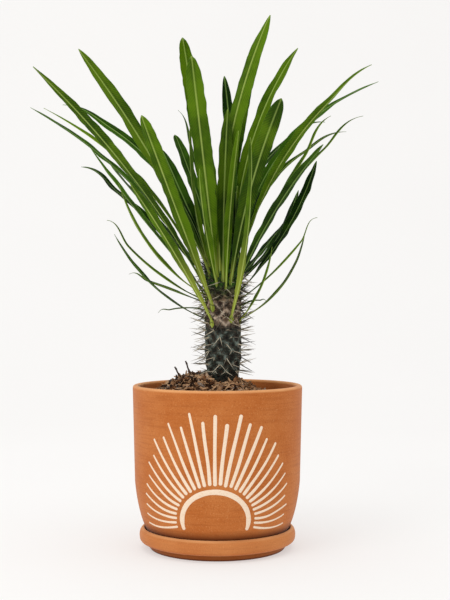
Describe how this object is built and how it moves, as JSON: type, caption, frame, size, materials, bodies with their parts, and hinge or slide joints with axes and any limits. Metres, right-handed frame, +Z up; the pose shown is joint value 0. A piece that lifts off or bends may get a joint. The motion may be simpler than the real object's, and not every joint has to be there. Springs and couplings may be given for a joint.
{
  "type": "madagascar palm in a terracotta pot",
  "caption": "Young spiny-stemmed succulent with a crown of long narrow leaves, standing in a round clay pot on a matching saucer.",
  "frame": {"origin": "on the floor, at the middle of the saucer's flat underside and on the pot's axis", "axes": "+Z up along the pot's axis, -Y towards the painted front of the pot, +X to the right seen from the front"},
  "size_m": [0.3204, 0.2557, 0.4631],
  "materials": {
    "terracotta": "unglazed fired clay, matt and slightly dusty",
    "cream_paint": "matt cream paint in raised brush strokes",
    "potting_mix": "rough brown bark chips and coir",
    "stem": "grey-brown bark with pale scars and horny spines",
    "twig": "dry dark wood",
    "leaf_light": "satin light green leaf with a pale midrib",
    "leaf_mid": "satin green leaf with a pale midrib",
    "leaf_dark": "satin dark green leaf with a pale midrib"
  },
  "bodies": {
    "root": {"saucer": "terracotta", "pot": "terracotta", "potting_mix": "potting_mix", "trunk": "stem", "twig_1": "twig", "twig_2": "twig", "leaf_01": "leaf_mid", "leaf_02": "leaf_mid", "leaf_03": "leaf_dark", "leaf_04": "leaf_mid", "leaf_05": "leaf_light", "leaf_06": "leaf_mid", "leaf_07": "leaf_mid", "leaf_08": "leaf_mid", "leaf_09": "leaf_mid", "leaf_10": "leaf_dark", "leaf_11": "leaf_dark", "leaf_12": "leaf_mid", "leaf_13": "leaf_light", "leaf_14": "leaf_dark", "leaf_15": "leaf_mid", "leaf_16": "leaf_mid", "leaf_17": "leaf_dark", "leaf_18": "leaf_mid", "leaf_19": "leaf_dark", "leaf_20": "leaf_dark", "leaf_21": "leaf_dark", "leaf_22": "leaf_light", "leaf_23": "leaf_mid", "leaf_24": "leaf_mid", "leaf_25": "leaf_dark", "leaf_26": "leaf_dark", "leaf_27": "leaf_light", "leaf_28": "leaf_light", "leaf_29": "leaf_light", "leaf_30": "leaf_light", "leaf_31": "leaf_light", "leaf_32": "leaf_light", "leaf_33": "leaf_mid", "leaf_34": "leaf_mid", "leaf_35": "leaf_light", "leaf_36": "leaf_light", "leaf_37": "leaf_dark", "leaf_38": "leaf_dark", "leaf_39": "leaf_dark", "leaf_40": "leaf_dark", "leaf_41": "leaf_mid", "leaf_42": "leaf_mid", "leaf_43": "leaf_dark", "leaf_44": "leaf_dark", "leaf_45": "leaf_dark", "leaf_46": "leaf_dark", "leaf_47": "leaf_dark", "leaf_48": "leaf_dark", "leaf_49": "leaf_mid", "leaf_50": "leaf_mid", "leaf_51": "leaf_mid"}
  },
  "joints": []
}
